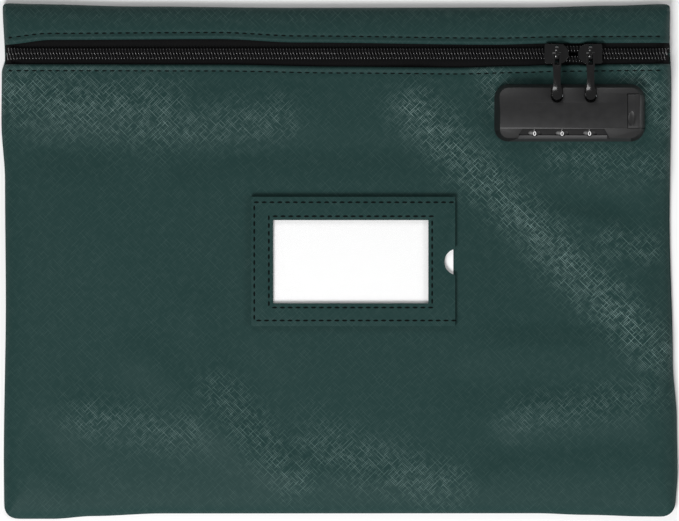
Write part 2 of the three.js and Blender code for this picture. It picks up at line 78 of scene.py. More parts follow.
# Thicknesses of the leathercloth, the lining and the zip's tape.
SHEET = 1.2 * MM
LINING = 0.4 * MM
TAPE = 0.55 * MM
# A band wave repeats every 0.314 units at scale 1.
WAVE_REPEAT = 0.31416
# Faces of cloth are shaded smooth up to this angle.
CLOTH_SHARP = 60


def linear(code):
    """An sRGB hex colour as the linear one that shaders take."""
    parts = [int(code[i : i + 2], 16) / 255 for i in (0, 2, 4)]
    return tuple(c / 12.92 if c <= 0.04045 else ((c + 0.055) / 1.055) ** 2.4 for c in parts) + (1.0,)


def colour(name, description, code):
    return bpy.props.FloatVectorProperty(
        name=name, description=description, subtype="COLOR", size=4, min=0, max=1, default=linear(code)
    )


def length(name, description, default):
    return bpy.props.FloatProperty(name=name, description=description, unit="LENGTH", default=default)


class DepositBagColours(bpy.types.PropertyGroup):
    leathercloth: colour("Leathercloth", "Face of the bag's leathercloth", "1f3a38")
    # Painted highlight: the pale colour that the grain's raised lines take where they glint on lit fold
    # crests.
    ridge: colour("Grain", "The grain's raised lines, which are rubbed lighter", "93aca8")
    lining: colour("Lining", "Woven lining inside the bag", "17191b")
    tape: colour("Zip tape", "Woven edge that the zip's teeth are sewn to", "0d0d0e")
    nylon: colour("Zip teeth", "Nylon coil of the zip", "141416")
    enamel: colour("Slider enamel", "Baked enamel on the sliders and pullers", "060607")
    plastic: colour("Lock plastic", "Moulded case of the lock", "181819")
    # Painted light: the scoop's lip is made paler where it faces the key lamp.
    rubbed: colour("Rubbed plastic", "Lip of the lock's scoop", "262728")
    # This colour also serves the scoop and the bevel below the lock's face, where it is painted shade.
    dial: colour("Dial plastic", "Polished wheels of the lock", "0d0d0e")
    thread: colour("Thread", "Sewing thread", "040b0a")
    card: colour("Card", "Name card in the window", "ffffff")
    steel: colour("Steel", "Zinc-plated steel inside the lock", "9a9fa3")
    floor: colour("Floor", "Paper that the bag lies on", "ffffff")


class DepositBagSizes(bpy.types.PropertyGroup):
    grain: length("Grain pitch", "Distance between the grain's embossed lines", 0.82 * MM)
    stitch: length("Stitch length", "Length of one stitch with the gap after it", 3.9 * MM)
    thread: length("Thread width", "Width of a sewn stitch", 0.95 * MM)
    tooth: length("Tooth pitch", "Distance between two loops of one zip coil", 1.58 * MM)
    wire: length("Coil wire", "Thickness of the zip's nylon wire", 0.56 * MM)
    fold: bpy.props.FloatProperty(
        name="Folds", description="How strongly the empty bag is creased", default=0.8, min=0, max=2
    )


# ---------------------------------------------------------------- small tools


def ease(t):
    t = min(1.0, max(0.0, t))
    return t * t * (3 - 2 * t)


def along(table, at):
    """A value read from a table of (place, value) pairs, eased from each pair to the next."""
    if at <= table[0][0]:
        return table[0][1]
    for (a, low), (b, high) in zip(table, table[1:]):
        if at <= b:
            return low + (high - low) * ease((at - a) / (b - a))
    return table[-1][1]


def piece_from(name, bm, material, body=BAG, stands_for=(), sharp=35):
    """A finished piece from a bmesh: smooth-shaded up to the sharp angle, on its body."""
    mesh = bpy.data.meshes.new(name)
    bm.to_mesh(mesh)
    bm.free()
    mesh.shade_smooth()
    if sharp:
        mesh.set_sharp_from_angle(angle=math.radians(sharp))
    mesh.materials.append(material)
    piece = bpy.data.objects.new(name, mesh)
    bpy.context.scene.collection.objects.link(piece)
    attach(piece, body)
    if stands_for:
        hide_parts(*stands_for)
    return piece


def sheet_from(columns, rows, place):
    """A bmesh sheet: a grid whose points go where place(u, v) says."""
    bm = bmesh.new()
    bmesh.ops.create_grid(bm, x_segments=columns, y_segments=rows, size=0.5)
    for v in bm.verts:
        v.co = place(v.co.x + 0.5, v.co.y + 0.5)
    return bm


def thicken(bm, thick):
    bmesh.ops.recalc_face_normals(bm, faces=bm.faces)
    if sum(f.normal.z for f in bm.faces) < 0:
        bmesh.ops.reverse_faces(bm, faces=bm.faces)
    bmesh.ops.solidify(bm, geom=bm.faces[:] + bm.edges[:] + bm.verts[:], thickness=thick)
    bmesh.ops.recalc_face_normals(bm, faces=bm.faces)


def cad_copy(node):
    """The shape of a CAD node, merged and with its flat faces whole."""
    bm = bmesh.new()
    bm.from_mesh(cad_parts[node].data)
    bmesh.ops.remove_doubles(bm, verts=bm.verts, dist=1e-6)
    bmesh.ops.dissolve_limit(bm, angle_limit=math.radians(0.5), verts=bm.verts, edges=bm.edges)
    return bm


def soften(bm, width, angle=28):
    """Rounds every edge sharper than an angle, as a mould or a die leaves it."""
    limit = math.radians(angle)
    edges = [e for e in bm.edges if e.is_manifold and e.calc_face_angle() > limit]
    bmesh.ops.bevel(
        bm,
        geom=edges,
        offset=width,
        offset_type="OFFSET",
        segments=3,
        profile=0.5,
        affect="EDGES",
        clamp_overlap=True,
        material=-1,
    )


def softened_node(node, name, material, width, body=BAG, angle=28, sharp=40):
    bm = cad_copy(node)
    soften(bm, width, angle)
    return piece_from(name, bm, material, body, (node,), sharp)


# ---------------------------------------------------------------- materials


def add_node(tree, kind, settings=None, links=None):
    """One shader node with its settings, and its inputs linked from (node, output) pairs."""
    made = tree.nodes.new(kind)
    for key, value in (settings or {}).items():
        if isinstance(key, str) and hasattr(made, key):
            setattr(made, key, value)
        else:
            made.inputs[key].default_value = value
    for key, (source, output) in (links or {}).items():
        tree.links.new(source.outputs[output], made.inputs[key])
    return made


def start_material(name):
    material = bpy.data.materials.new(name)
    material.use_nodes = True
    tree = material.node_tree
    shader = tree.nodes["Principled BSDF"]
    return material, tree, shader


def connect(tree, source, output, target, socket):
    tree.links.new(source.outputs[output], target.inputs[socket])


def saffiano_leathercloth(colours, sizes):
    # Cotton cloth with a polyurethane coat, pressed hot under a plate of fine crossed lines. It is smooth
    # and dark where it lies flat. Along the crests of its folds that face the lamps the raised lines get a
    # painted highlight, a pale colour mixed in where they catch the light.
    material, tree, shader = start_material("saffiano_leathercloth")
    place = add_node(tree, "ShaderNodeTexCoord")
    turned = add_node(
        tree, "ShaderNodeMapping", {"Rotation": (0, 0, math.radians(45))}, {"Vector": (place, "Object")}
    )
    settings = {"Scale": WAVE_REPEAT / sizes.grain, "Distortion": 0.5, "Detail": 1.0}
    hatches = []
    for way, stretch in (("X", (1000, 170, 1)), ("Y", (170, 1000, 1))):
        wave = add_node(
            tree, "ShaderNodeTexWave", {"bands_direction": way, **settings}, {"Vector": (turned, "Vector")}
        )
        thin = add_node(
            tree, "ShaderNodeMapRange", {"From Min": 0.7, "From Max": 1.0}, {"Value": (wave, "Fac")}
        )
        # each line is bright for half a centimetre or so, then fades
        drawn = add_node(tree, "ShaderNodeMapping", {"Scale": stretch}, {"Vector": (turned, "Vector")})
        fading = add_node(
            tree, "ShaderNodeTexNoise", {"Scale": 1.0, "Detail": 1.0}, {"Vector": (drawn, "Vector")}
        )
        shown = add_node(
            tree, "ShaderNodeMapRange", {"From Min": 0.45, "From Max": 0.66}, {"Value": (fading, "Fac")}
        )
        hatches.append(
            add_node(
                tree, "ShaderNodeMath", {"operation": "MULTIPLY"}, {0: (thin, "Result"), 1: (shown, "Result")}
            )
        )
    lines = add_node(
        tree, "ShaderNodeMath", {"operation": "MAXIMUM"}, {0: (hatches[0], "Value"), 1: (hatches[1], "Value")}
    )
    patches = add_node(
        tree,
        "ShaderNodeTexNoise",
        {"Scale": 120.0, "Detail": 5.0, "Roughness": 0.7},
        {"Vector": (place, "Object")},
    )
    uneven = add_node(
        tree,
        "ShaderNodeMapRange",
        {"From Min": 0.3, "From Max": 0.7, "To Min": 0.5, "To Max": 1.2},
        {"Value": (patches, "Fac")},
    )
    crests = add_node(tree, "ShaderNodeAttribute", {"attribute_name": "rubbed"})
    rubbed = add_node(
        tree, "ShaderNodeMapRange", {"To Min": 0.08, "To Max": 0.85}, {"Value": (crests, "Fac")}
    )
    wear_and_glint = add_node(
        tree, "ShaderNodeMath", {"operation": "MULTIPLY"}, {0: (uneven, "Result"), 1: (rubbed, "Result")}
    )
    strength = add_node(
        tree, "ShaderNodeMath", {"operation": "MULTIPLY"}, {0: (lines, "Value"), 1: (wear_and_glint, "Value")}
    )
    # Painted highlight: the grain's lines turn pale where the painted glint is strong.
    mix = add_node(
        tree,
        "ShaderNodeMix",
        {"data_type": "RGBA", 6: colours.leathercloth, 7: colours.ridge},
        {"Factor": (strength, "Value")},
    )
    shade = add_node(
        tree,
        "ShaderNodeMapRange",
        {"From Min": 0.0, "From Max": 1.0, "To Min": 0.6, "To Max": 0.38},
        {"Value": (strength, "Value")},
    )
    bump = add_node(
        tree,
        "ShaderNodeBump",
        {"Strength": 0.55, "Distance": 0.00012},
        {"Height": (strength, "Value")},
    )
    connect(tree, mix, 2, shader, "Base Color")
    connect(tree, shade, "Result", shader, "Roughness")
    connect(tree, bump, "Normal", shader, "Normal")
    shader.inputs["IOR"].default_value = 1.42
    shader.inputs["Specular IOR Level"].default_value = 0.17
    return material


def woven_cloth(name, tint, pitch, rough):
    """A plain weave of two crossing sets of threads, at its thread spacing."""
    material, tree, shader = start_material(name)
    place = add_node(tree, "ShaderNodeTexCoord")
    scale = WAVE_REPEAT / pitch
    warp = add_node(
        tree, "ShaderNodeTexWave", {"bands_direction": "X", "Scale": scale}, {"Vector": (place, "Object")}
    )
    weft = add_node(
        tree, "ShaderNodeTexWave", {"bands_direction": "Y", "Scale": scale}, {"Vector": (place, "Object")}
    )
    cloth = add_node(tree, "ShaderNodeMath", {"operation": "ADD"}, {0: (warp, "Fac"), 1: (weft, "Fac")})
    fuzz = add_node(
        tree, "ShaderNodeTexNoise", {"Scale": 900.0, "Detail": 2.0}, {"Vector": (place, "Object")}
    )
    dark = tuple(0.55 * c for c in tint[:3]) + (1.0,)
    mix = add_node(
        tree, "ShaderNodeMix", {"data_type": "RGBA", 6: dark, 7: tuple(tint)}, {"Factor": (fuzz, "Fac")}
    )
    bump = add_node(
        tree, "ShaderNodeBump", {"Strength": 0.6, "Distance": 0.0001}, {"Height": (cloth, "Value")}
    )
    connect(tree, mix, 2, shader, "Base Color")
    connect(tree, bump, "Normal", shader, "Normal")
    shader.inputs["Roughness"].default_value = rough
    shader.inputs["Specular IOR Level"].default_value = 0.15
    return material


def moulded(name, tint, rough, grit, depth, ior=1.53, metal=0.0, coat=0.0):
    """A moulded or cast surface: one colour, broken by a fine grit in its roughness and its relief."""
    material, tree, shader = start_material(name)
    place = add_node(tree, "ShaderNodeTexCoord")
    fine = add_node(
        tree, "ShaderNodeTexNoise", {"Scale": 1 / grit, "Detail": 2.0}, {"Vector": (place, "Object")}
    )
    broad = add_node(
        tree, "ShaderNodeTexNoise", {"Scale": 0.06 / grit, "Detail": 3.0}, {"Vector": (place, "Object")}
    )
    spread = add_node(
        tree,
        "ShaderNodeMapRange",
        {"To Min": max(0.02, rough - 0.08), "To Max": rough + 0.08},
        {"Value": (broad, "Fac")},
    )
    wear_and_glint = tuple(min(1.0, 1.25 * c + 0.002) for c in tint[:3]) + (1.0,)
    mix = add_node(
        tree, "ShaderNodeMix", {"data_type": "RGBA", 6: tuple(tint), 7: wear_and_glint}, {"Factor": (broad, "Fac")}
    )
    bump = add_node(tree, "ShaderNodeBump", {"Strength": 0.35, "Distance": depth}, {"Height": (fine, "Fac")})
    connect(tree, mix, 2, shader, "Base Color")
    connect(tree, spread, "Result", shader, "Roughness")
    connect(tree, bump, "Normal", shader, "Normal")
    shader.inputs["IOR"].default_value = ior
    shader.inputs["Metallic"].default_value = metal
    shader.inputs["Coat Weight"].default_value = coat
    return material


def clear_film():
    # Pressed clear PVC sheet: see-through, glossy, very slightly wavy.
    material, tree, shader = start_material("clear_pvc_film")
    place = add_node(tree, "ShaderNodeTexCoord")
    wavy = add_node(tree, "ShaderNodeTexNoise", {"Scale": 60.0}, {"Vector": (place, "Object")})
    bump = add_node(tree, "ShaderNodeBump", {"Strength": 0.1, "Distance": 0.0002}, {"Height": (wavy, "Fac")})
    connect(tree, bump, "Normal", shader, "Normal")
    shader.inputs["Base Color"].default_value = (1, 1, 1, 1)
    shader.inputs["Roughness"].default_value = 0.08
    shader.inputs["Alpha"].default_value = 0.08
    shader.inputs["IOR"].default_value = 1.53
    return material


def make_materials():
    c = bpy.context.scene.deposit_bag_colours
    s = bpy.context.scene.deposit_bag_sizes
    saffiano_leathercloth(c, s)
    # Plain-woven polyester, dull and slightly hairy.
    woven_cloth("woven_polyester_lining", c.lining, 0.5 * MM, 0.9)
    # Tightly woven polyester ribbon: matt, with fine ribs.
    woven_cloth("woven_zip_tape", c.tape, 0.6 * MM, 0.85)
    # Extruded nylon wire: smooth, with a soft gloss.
    moulded("extruded_nylon_wire", c.nylon, 0.2, 1.2 * MM, 0.000002, ior=1.53, coat=0.6)
    # Die-cast zinc under baked black enamel: glossy, with sharp highlights.
    moulded("black_enamelled_zinc", c.enamel, 0.16, 1.6 * MM, 0.000004, ior=1.5, coat=0.7)
    # ABS from a spark-eroded mould: satin, with a fine even grit.
    moulded("satin_moulded_abs", c.plastic, 0.46, 0.22 * MM, 0.00002, ior=1.54)
    # The same plastic in the scoop, rough and dull, in a darker colour that is painted shade in the recess.
    moulded("painted_shade_scoop_abs", c.dial, 0.7, 0.3 * MM, 0.00003, ior=1.4)
    # The same plastic on the bevel below the face, with a coarser, duller grit and a darker colour that is
    # painted shade.
    moulded("painted_shade_bevel_abs", c.dial, 0.55, 0.3 * MM, 0.00003, ior=1.45)
    # The same plastic on its proud lip, paler: painted light where the lip faces the key lamp.
    moulded("painted_light_moulded_abs", c.rubbed, 0.5, 0.3 * MM, 0.00002, ior=1.54)
    # ABS from a polished mould: smooth wheels.
    moulded("polished_moulded_abs", c.dial, 0.42, 1.2 * MM, 0.000002, ior=1.54)
    # Bonded polyester thread: a soft shine on tight twist.
    moulded("bonded_polyester_thread", c.thread, 0.85, 0.25 * MM, 0.00004, ior=1.2)
    # Coated white card stock: matt and even.
    moulded("coated_card_stock", c.card, 0.6, 0.5 * MM, 0.000005, ior=1.45)
    # Steel with a bright zinc plate.
    moulded("zinc_plated_steel", c.steel, 0.32, 0.2 * MM, 0.00001, ior=1.5, metal=1.0)
    # White pad-printing ink, matt.
    moulded("white_pad_print", c.card, 0.55, 0.3 * MM, 0.000005, ior=1.45)
    clear_film()


def material(name):
    return bpy.data.materials[name]


def finish_node(node, name):
    """A CAD node that keeps its shape gets its real finish."""
    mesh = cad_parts[node].data
    mesh.materials.clear()
    mesh.materials.append(material(name))


# ---------------------------------------------------------------- the bag's shape

# How far the lying bag's outline is drawn in from its cut size, along each side.
LEFT_INSET = ((-129, 2.2), (-100, 2.0), (-20, 3.0), (40, 2.6), (70, 0.8), (95, 1.0), (100, 2.6), (129, 1.4))
RIGHT_INSET = ((-129, 1.6), (-105, 0.2), (-80, 0.6), (-50, 2.6), (20, 4.2), (90, 3.4), (112, 4.2), (129, 4.0))
BOTTOM_INSET = (
    (-160, 0.2), (-145, 0.2), (-125, 1.6), (-90, 2.9), (100, 3.0), (125, 2.2), (155, 1.4), (170, 1.2)
)
TOP_INSET = ((-168, 0.4), (-155, 0.8), (-100, 2.0), (-20, 2.7), (100, 2.5), (140, 1.6), (168, 0.8))
# The two hems along the zip, and the row of stitching beside each.
LOWER_HEM = ((-170, 98.4), (-60, 98.2), (0, 97.2), (60, 96.7), (90, 97.4), (112, 98.1), (170, 98.6))
UPPER_HEM = (
    (-170, 108.2), (-145, 110.6), (-60, 111.0), (-20, 109.3), (80, 108.2), (112, 108.9), (170, 109.1)
)
HEM_STITCH = 3.2
# Folds of the empty bag: from, to, half width, height. A height below zero is a hollow.
FOLDS = (
    ((40, 84), (166, -36), 15, 3.2),
    ((70, 92), (160, 20), 16, -1.6),
    ((-98, -50), (-22, -112), 13, 2.6),
    ((-22, -112), (62, -114), 12, 2.2),
    ((20, -103), (22, -101), 9, -1.8),
    ((-68, -26), (-56, -86), 12, 1.6),
    ((-40, -30), (-36, -90), 14, -1.4),
    ((-130, -76), (-75, -84), 13, 2.0),
    ((-150, -88), (-128, -112), 10, -1.6),
    ((-160, 56), (-118, 57), 11, -2.2),
    ((-160, 78), (-20, 78), 12, 1.6),
    ((-75, 52), (60, 52), 10, -1.8),
    ((130, 16), (150, 6), 12, 1.6),
    ((66, -60), (135, -66), 13, -2.0),
    ((60, -118), (80, -93), 9, -1.8),
    ((80, -93), (158, -90), 10, -2.2),
    ((95, -74), (155, -74), 10, 1.8),
    ((-120, 10), (-90, -30), 22, 0.9),
    ((90, 20), (100, -30), 20, -0.9),
)
# Painted highlight on the grain along fold crests that face the lamps: from, to, half width, strength.
PAINTED_GLINTS = (
    ((38, 76), (160, -46), 11, 0.9),
    ((135, 10), (155, 6), 8, 0.5),
    ((-165, 84), (-90, 74), 16, 0.7),
    ((-90, 66), (-30, 72), 10, 0.5),
    ((150, 95), (166, 70), 9, 0.8),
    ((76, 96), (80, 80), 8, 0.6),
    ((-60, -66), (-22, -108), 10, 0.5),
    ((-10, -92), (52, -112), 12, 0.5),
    ((-126, -78), (-76, -86), 10, 0.4),
    ((90, -78), (158, -66), 9, 0.4),
    ((-160, 124), (160, 124), 5, 0.12),
    ((110, 52), (160, 48), 8, 0.5),
)
# The parts of the front that the lock's plate and the card pocket hold flat.
STIFF = ((58, 45, 172, 100), (-48, -37, 62, 37))
HEIGHT = 259 / 2
WIDTH = 340 / 2
# Radii of the bag's corners.
LOW_CORNER = 7.0
HIGH_CORNER = 2.5


def outline_x(y, side):
    table = RIGHT_INSET if side > 0 else LEFT_INSET
    return side * (WIDTH - along(table, y))


def round_corner(x, y, corner, radius):
    """Draws a square corner's neighbourhood in to a round one."""
    a = (corner[0] - x) * (1 if corner[0] > 0 else -1)
    b = (corner[1] - y) * (1 if corner[1] > 0 else -1)
    if a >= radius or b >= radius:
        return x, y
    p, q = 1 - a / radius, 1 - b / radius
    shrink = max(p, q) / max(1e-6, math.hypot(p, q))
    a, b = radius * (1 - p * shrink), radius * (1 - q * shrink)
    return corner[0] - math.copysign(a, corner[0]), corner[1] - math.copysign(b, corner[1])


def segment_distance(x, y, a, b):
    dx, dy = b[0] - a[0], b[1] - a[1]
    t = ((x - a[0]) * dx + (y - a[1]) * dy) / max(1e-9, dx * dx + dy * dy)
    t = min(1.0, max(0.0, t))
    return math.hypot(x - a[0] - t * dx, y - a[1] - t * dy)


def folds_at(x, y):
    total = sum(
        height * math.exp(-((segment_distance(x, y, a, b) / wide) ** 2)) for a, b, wide, height in FOLDS
    )
    for left, low, right, high in STIFF:
        away = math.hypot(max(left - x, 0, x - right), max(low - y, 0, y - high))
        total *= ease(away / CREASE_FADE)
    return total


# How far in from each side the front has risen to its full height, and the same along the zip.
EDGE_RUNS = (24.0, 15.0, 34.0, 14.0)
ZIP_RUN = 7.0
# The height up the bag where the zip's level part begins, and over how much it comes in.
ZIP_PART = 78
ZIP_BLEND = 14
# Creases fade out over this distance from a side or from a part that is held flat.
CREASE_FADE = 26
# Off the zip's line: where a coil laps past it and reaches out to, the same for its core, how far a coil
# stands up and down, and how far the sliders part the two.
COIL_LAP, COIL_REACH = 0.75, 3.2
CORE_INNER, CORE_OUTER = 0.3, 2.7
COIL_RISE = 0.62
PARTING = 1.3
# The part of the front that the name card slides out over, how far it is sunk and how it fades.
CARD_WAY = (60, -29, 158, 29)
CARD_SINK = 1.8
CARD_FADE = 16


def side_distances(x, y):
    """From a point on the front to the lying bag's left, right, lower and upper sides."""
    left = x - outline_x(y, -1)
    right = outline_x(y, 1) - x
    low = y + HEIGHT - along(BOTTOM_INSET, x)
    high = HEIGHT - along(TOP_INSET, x) - y
    return left, right, low, high


def mark_crests(bm):
    """Writes how strongly each point of a sheet gets the grain's painted highlight, from 0 to 1: most along
    the crests of the folds.
    """
    layer = bm.verts.layers.float.new("rubbed")
    for v in bm.verts:
        x, y = v.co.x / MM, v.co.y / MM
        v[layer] = max(
            strength * math.exp(-((segment_distance(x, y, start, end) / wide) ** 2))
            for start, end, wide, strength in PAINTED_GLINTS
        )


def edge_distance(x, y):
    return max(0.0, min(side_distances(x, y)))


def front_height(x, y, down=0.0):
    """The height of the front, or of a layer that lies down millimetres under it."""
    rise = 1.0
    # along the zip the front stays level almost to the sides, so that the sliders can run there
    level = ease((y - ZIP_PART) / ZIP_BLEND)
    for i, (away, run) in enumerate(zip(side_distances(x, y), EDGE_RUNS)):
        run += (ZIP_RUN - run) * level if i < 2 else 0
        t = min(1.0, max(0.0, away - down) / run)
        rise = min(rise, math.sqrt(max(0.0, 1 - (1 - t) ** 2)))
    flat = TOP_Z / MM - RIM_Z / MM - down
    strength = bpy.context.scene.deposit_bag_sizes.fold
    crease = strength * folds_at(x, y) * ease(edge_distance(x, y) / CREASE_FADE)
    # the card slides out over this part, so no crease stands above the pocket's floor
    left, low, right, high = CARD_WAY
    away = math.hypot(max(left - x, 0, x - right), max(low - y, 0, y - high))
    clear = 1 - ease(away / CARD_FADE)
    crease -= CARD_SINK * clear * ease((x - left) / CREASE_FADE)
    crease -= clear * max(0.0, crease)
    return RIM_Z / MM + flat * rise + crease


def lower_part(u, v, high, inset=0.0):
    """A point of the bag between its bottom seam (v = 0) and the lower hem (v = 1), in millimetres."""
    x = (2 * u - 1) * (WIDTH - inset)
    bottom = -HEIGHT + along(BOTTOM_INSET, x) + inset
    top = high(x)
    y = bottom + (top - bottom) * v
    left, right = outline_x(y, -1) + inset, outline_x(y, 1) - inset
    x = left + (right - left) * u
    for corner in ((left, bottom), (right, bottom)):
        x, y = round_corner(x, y, corner, LOW_CORNER)
    return x, y


def panel_top(x, y):
    """The front panel's face: its folds, and the hem along the zip with the groove its stitching pulls in."""
    z = front_height(x, y)
    hem = along(LOWER_HEM, x) - y
    return z + hem_relief(hem)


def strip_top(x, y):
    """The face of the strip above the zip, with its hem."""
    return front_height(x, y) + hem_relief(y - along(UPPER_HEM, x))


def hem_relief(inwards):
    """A hem's rolled edge, and the groove that its stitching pulls in, at a distance in from the edge."""
    bead = 0.5 * math.exp(-(((inwards - 1.3) / 1.1) ** 2))
    groove = -0.45 * math.exp(-(((inwards - HEM_STITCH) / 0.7) ** 2))
    turned = -1.0 * (1 - min(1.0, max(0.0, inwards) / 1.1)) ** 2
    return bead + groove + turned


def cut_for_lock(bm):
    """Opens the cloth behind the lock for its chassis and its screws."""
    low, high = (Vector(c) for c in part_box("lock_chassis"))
    screws = [middle(f"lock_screw_{i}") for i in range(1, 5)]

    def inside(face):
        at = face.calc_center_median()
        margin = 1.6 * MM
        over = low.x - margin < at.x < high.x + margin and low.y - margin < at.y < high.y + margin
        return over or any((at.xy - s.xy).length < 3 * MM for s in screws)

    bmesh.ops.delete(bm, geom=[f for f in bm.faces if inside(f)], context="FACES")


class DepositBagOperator(bpy.types.Operator):
    bl_options = {"REGISTER", "UNDO"}


class DEPOSITBAG_OT_leathercloth(DepositBagOperator):
    """Front, top strip and back of leathercloth, in the puffed and creased shape the empty bag lies in"""

    bl_idname = "object.deposit_bag_leathercloth"
    bl_label = "Leathercloth"

    def execute(self, context):
        cloth = material("saffiano_leathercloth")

        def on_front(u, v):
            v = 1 - (1 - v) ** 1.25
            x, y = lower_part(u, v, lambda at: along(LOWER_HEM, at))
            return Vector((x, y, panel_top(x, y))) * MM

        bm = sheet_from(190, 150, on_front)
        cut_for_lock(bm)
        thicken(bm, SHEET)
        mark_crests(bm)
        front = piece_from(
            "front_panel_cloth", bm, cloth,
            stands_for=("front_panel",), sharp=CLOTH_SHARP,
        )

        def on_strip(u, v):
            x = (2 * u - 1) * WIDTH
            top = HEIGHT - along(TOP_INSET, x)
            bottom = along(UPPER_HEM, x)
            y = bottom + (top - bottom) * v
            left, right = outline_x(y, -1), outline_x(y, 1)
            x = left + (right - left) * u
            for corner in ((left, top), (right, top)):
                x, y = round_corner(x, y, corner, HIGH_CORNER)
            return Vector((x, y, strip_top(x, y))) * MM

        bm = sheet_from(190, 24, on_strip)
        thicken(bm, SHEET)
        mark_crests(bm)
        strip = piece_from(
            "top_strip_cloth", bm, cloth,
            stands_for=("top_strip",), sharp=CLOTH_SHARP,
        )

        def on_back(u, v):
            x = (2 * u - 1) * WIDTH
            bottom = -HEIGHT + along(BOTTOM_INSET, x)
            top = HEIGHT - along(TOP_INSET, x)
            y = bottom + (top - bottom) * v
            left, right = outline_x(y, -1), outline_x(y, 1)
            x = left + (right - left) * u
            for side in (left, right):
                x, y = round_corner(x, y, (side, bottom), LOW_CORNER)
            for side in (left, right):
                x, y = round_corner(x, y, (side, top), HIGH_CORNER)
            lift = 0.25 * (1 - ease(edge_distance(x, y) / 3.0))
            return Vector((x, y, BACK_TOP / MM + lift)) * MM

        bm = sheet_from(120, 90, on_back)
        thicken(bm, SHEET - 0.05 * MM)
        back = piece_from(
            "back_panel_cloth", bm, cloth,
            stands_for=("back_panel",), sharp=CLOTH_SHARP,
        )
        return {"FINISHED"}


class DEPOSITBAG_OT_lining(DepositBagOperator):
    """Woven lining behind the front, the top strip and the back"""

    bl_idname = "object.deposit_bag_lining"
    bl_label = "Lining"

    def execute(self, context):
        cloth = material("woven_polyester_lining")
        setback, inset, under = 3.3, 2.8, 2.4

        def behind_front(u, v):
            x, y = lower_part(u, v, lambda at: along(LOWER_HEM, at) - setback, inset)
            return Vector((x, y, front_height(x, y, under))) * MM

        bm = sheet_from(130, 90, behind_front)
        cut_for_lock(bm)
        thicken(bm, LINING)
        lining = piece_from(
            "front_lining_cloth", bm, cloth,
            stands_for=("front_lining",), sharp=CLOTH_SHARP,
        )

        def behind_strip(u, v):
            x = (2 * u - 1) * (WIDTH - inset - 4.0)
            bottom = along(UPPER_HEM, x) + setback
            top = HEIGHT - along(TOP_INSET, x) - inset
            y = bottom + (top - bottom) * v
            return Vector((x, y, front_height(x, y, under))) * MM

        bm = sheet_from(130, 8, behind_strip)
        thicken(bm, LINING)
        strip = piece_from(
            "strip_lining_cloth", bm, cloth,
            stands_for=("strip_lining",), sharp=CLOTH_SHARP,
        )

        def on_back(u, v):
            x, y = lower_part(u, v, lambda at: HEIGHT - along(TOP_INSET, at) - inset, inset)
            return Vector((x, y, RIM_Z / MM + 0.4)) * MM

        bm = sheet_from(60, 45, on_back)
        thicken(bm, LINING)
        back = piece_from(
            "back_lining_cloth", bm, cloth,
            stands_for=("back_lining",), sharp=CLOTH_SHARP,
        )
        return {"FINISHED"}


